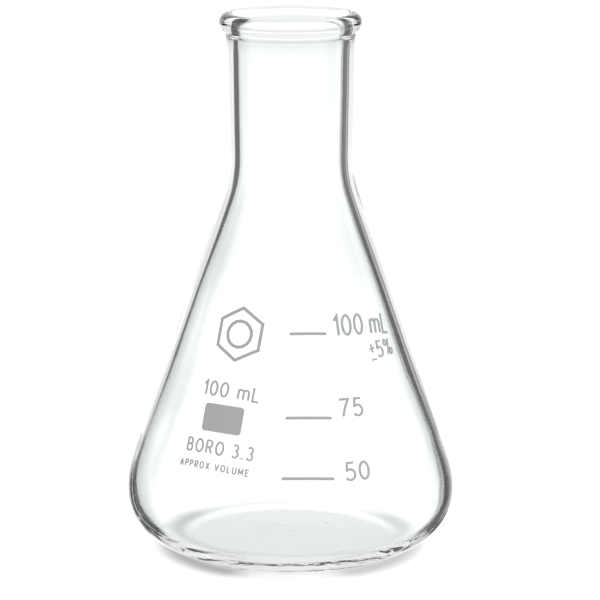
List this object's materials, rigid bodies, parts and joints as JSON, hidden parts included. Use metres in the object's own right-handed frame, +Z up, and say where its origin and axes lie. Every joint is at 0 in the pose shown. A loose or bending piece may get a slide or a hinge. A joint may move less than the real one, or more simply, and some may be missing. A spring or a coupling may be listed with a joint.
{
  "type": "erlenmeyer flask",
  "caption": "Narrow-mouth conical laboratory flask in clear glass with a beaded lip and fired-on enamel volume marks.",
  "frame": {"origin": "centre of the base on the table plane, on the flask's axis", "axes": "+Z up along the flask's axis; the printed marks are on the -Y side, with +X to the viewer's right"},
  "size_m": [0.064, 0.064, 0.105],
  "materials": {
    "borosilicate_glass": "clear, colourless, fire-polished",
    "grey_enamel": "pale grey fired-on enamel, satin"
  },
  "bodies": {
    "root": {"capacity_100ml_1_one": "grey_enamel", "capacity_100ml_2_zero": "grey_enamel", "capacity_100ml_3_zero": "grey_enamel", "capacity_100ml_4_m": "grey_enamel", "capacity_100ml_5_L": "grey_enamel", "glass_type_1_B": "grey_enamel", "glass_type_2_O": "grey_enamel", "glass_type_3_R": "grey_enamel", "glass_type_4_O": "grey_enamel", "glass_type_5_three": "grey_enamel", "glass_type_6_point": "grey_enamel", "glass_type_7_three": "grey_enamel", "glass_vessel": "borosilicate_glass", "graduation_line_100": "grey_enamel", "graduation_line_50": "grey_enamel", "graduation_line_75": "grey_enamel", "marking_spot": "grey_enamel", "scale_100ml_1_one": "grey_enamel", "scale_100ml_2_zero": "grey_enamel", "scale_100ml_3_zero": "grey_enamel", "scale_100ml_4_m": "grey_enamel", "scale_100ml_5_L": "grey_enamel", "scale_50_1_five": "grey_enamel", "scale_50_2_zero": "grey_enamel", "scale_75_1_seven": "grey_enamel", "scale_75_2_five": "grey_enamel", "symbol_hexagon": "grey_enamel", "symbol_ring": "grey_enamel", "tolerance_1_plus": "grey_enamel", "tolerance_2_minus": "grey_enamel", "tolerance_3_five": "grey_enamel", "tolerance_4_upper_ring": "grey_enamel", "tolerance_5_slash": "grey_enamel", "tolerance_6_lower_ring": "grey_enamel", "volume_note_10_U": "grey_enamel", "volume_note_11_M": "grey_enamel", "volume_note_12_E": "grey_enamel", "volume_note_1_A": "grey_enamel", "volume_note_2_P": "grey_enamel", "volume_note_3_P": "grey_enamel", "volume_note_4_R": "grey_enamel", "volume_note_5_O": "grey_enamel", "volume_note_6_X": "grey_enamel", "volume_note_7_V": "grey_enamel", "volume_note_8_O": "grey_enamel", "volume_note_9_L": "grey_enamel"}
  },
  "joints": []
}
